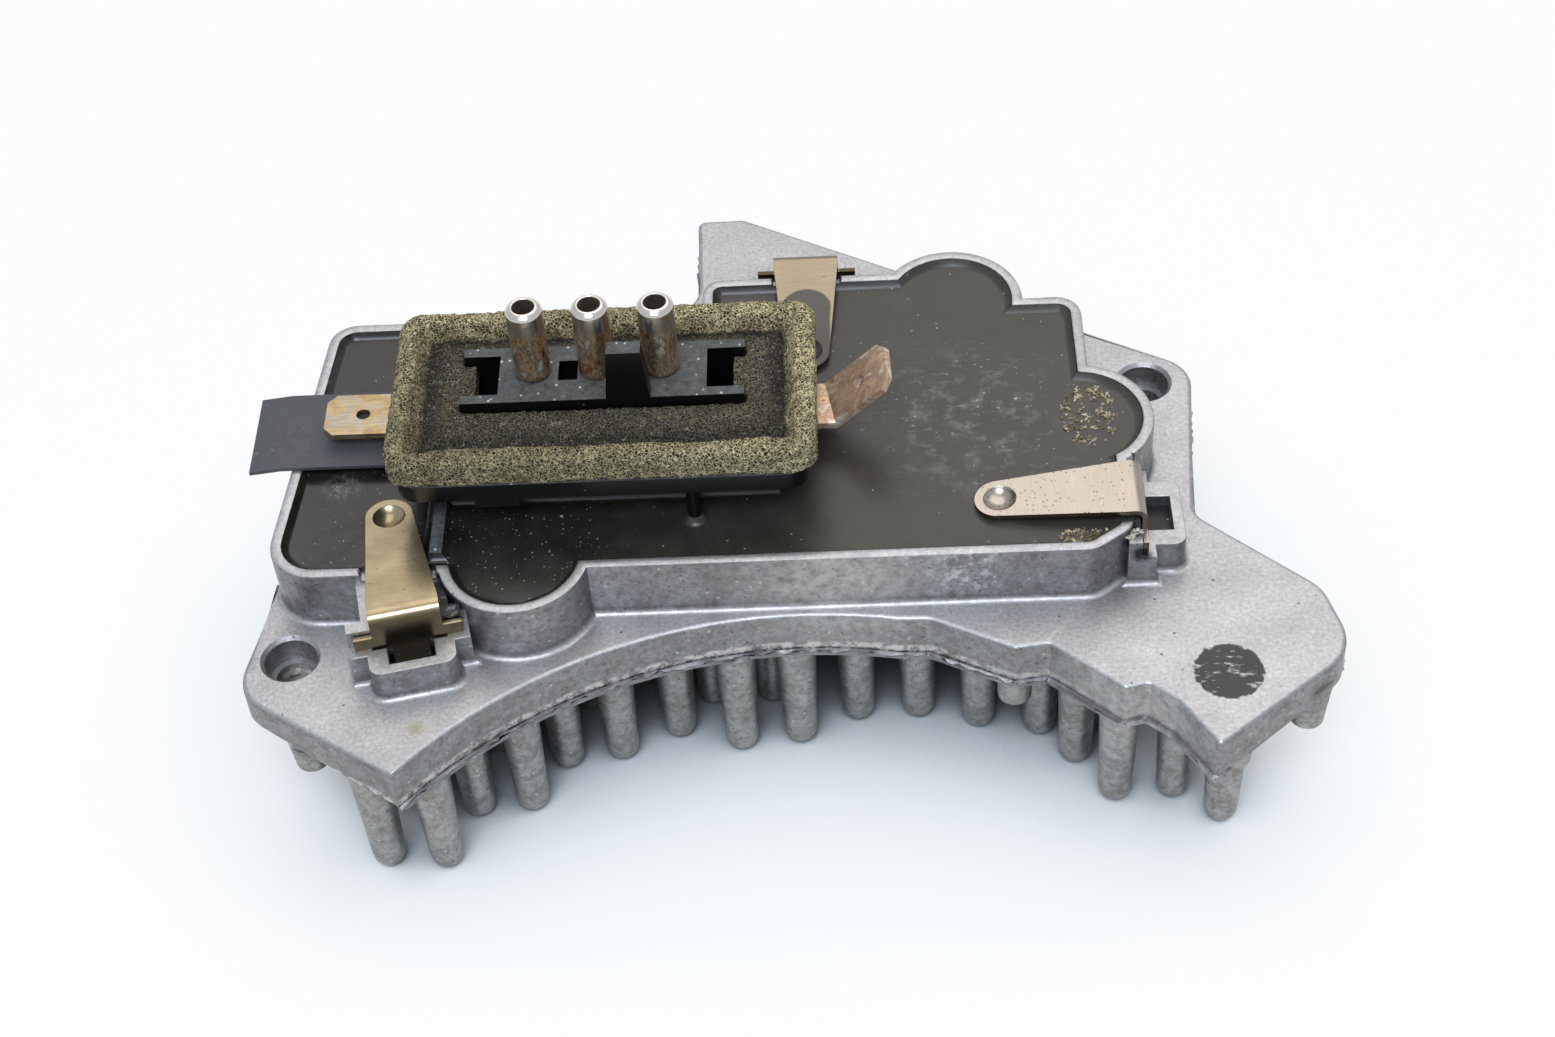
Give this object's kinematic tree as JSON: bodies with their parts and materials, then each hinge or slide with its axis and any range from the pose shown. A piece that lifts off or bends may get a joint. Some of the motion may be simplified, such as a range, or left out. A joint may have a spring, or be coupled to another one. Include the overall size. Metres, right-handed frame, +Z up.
{
  "type": "blower motor resistor",
  "caption": "Cast heat sink with pin fins and a potted tray that carries a sealed plug connector, spring clips and blade terminals; sets a car heater blower's speed.",
  "frame": {"origin": "midway between the two screw holes, on the plate's seating face", "axes": "+Z up from the seating face towards the connector's contacts, +X to the right with the round bay in front, +Y to the rear lobe"},
  "size_m": [0.1193, 0.0865, 0.0495],
  "materials": {
    "casting": "as-cast, matt",
    "potting": "semi-gloss compound",
    "connector": "moulded, dusty",
    "foam": "open-cell foam",
    "contact": "plated, tarnished",
    "blade": "tarnished",
    "spring": "passivated spring strip",
    "flap": "matt sheet",
    "board": "glass-filled laminate",
    "device": "moulded epoxy",
    "pad": "thermal pad",
    "can": "drawn can",
    "ferrite": "sintered",
    "copper": "enamelled wire"
  },
  "bodies": {
    "root": {"heat_sink": "casting", "potting": "potting", "connector_body": "connector", "foam_gasket": "foam", "contact_pin_left": "contact", "contact_pin_middle": "contact", "contact_pin_right": "contact", "blade_left": "blade", "blade_right": "blade", "insulating_flap": "flap", "clip_left": "spring", "clip_right": "spring", "clip_rear": "spring", "circuit_board": "board", "control_chip": "device", "shunt_resistor": "copper", "transistor_left": "device", "transistor_right": "device", "transistor_rear": "device", "pad_left": "pad", "pad_right": "pad", "pad_rear": "pad", "capacitor_front": "can", "capacitor_right": "can", "choke_core": "ferrite", "choke_winding": "copper"}
  },
  "joints": []
}
